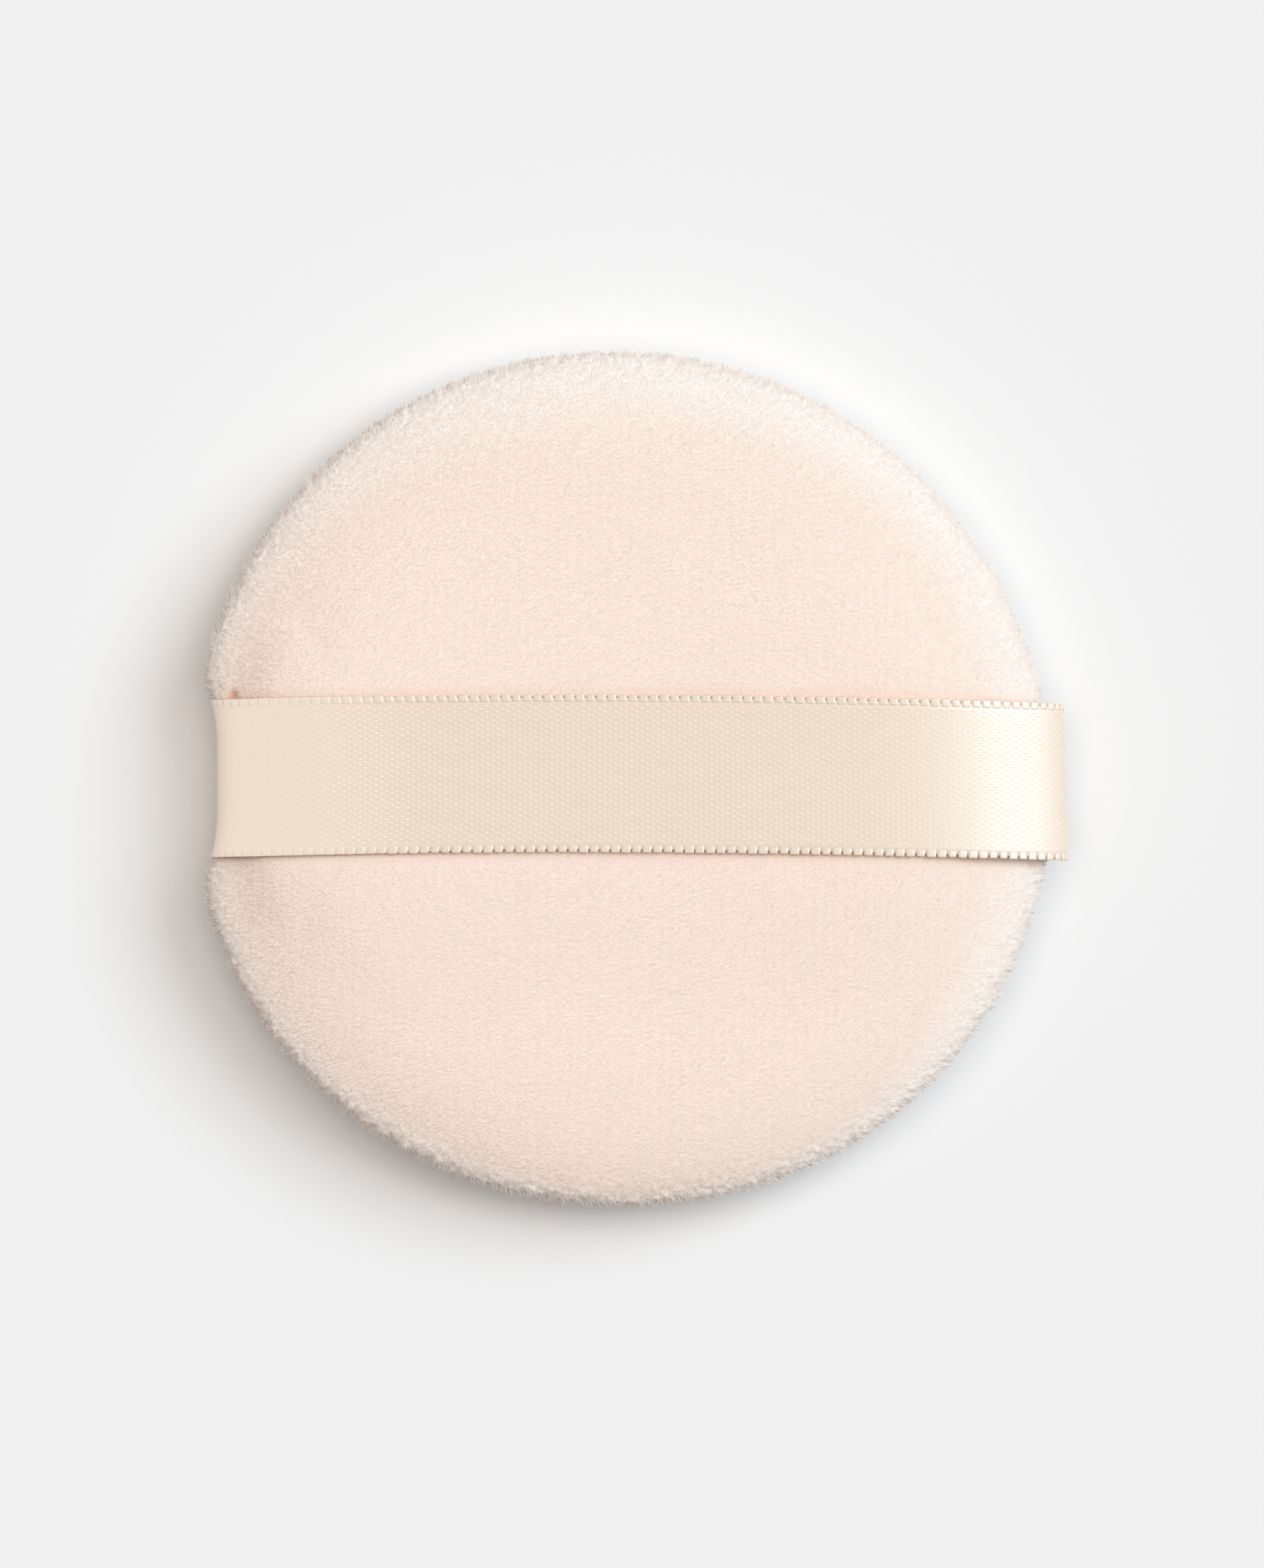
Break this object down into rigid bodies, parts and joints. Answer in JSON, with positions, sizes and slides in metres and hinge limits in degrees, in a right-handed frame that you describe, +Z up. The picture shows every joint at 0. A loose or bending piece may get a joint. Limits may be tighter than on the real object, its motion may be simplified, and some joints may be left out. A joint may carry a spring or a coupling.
{
  "type": "powder puff",
  "caption": "Round velour powder puff, a foam disc in two turned and sewn covers, with a satin finger ribbon caught in the rim seam.",
  "frame": {"origin": "centre of the flat underside, on the table", "axes": "+Z up through the pad, square to its faces; +X along the ribbon, towards the end that stands past the rim; +Y across the ribbon"},
  "size_m": [0.0804, 0.0793, 0.0139],
  "materials": {
    "velour": "matte",
    "satin": "satin",
    "foam": "matte",
    "thread": "satin"
  },
  "bodies": {
    "root": {"top_cover": "velour", "bottom_cover": "velour", "foam_core": "foam", "finger_ribbon": "satin", "rim_needle_thread": "thread", "rim_bobbin_thread": "thread", "left_stay_thread": "thread", "right_stay_thread": "thread", "closing_thread": "thread"}
  },
  "joints": []
}
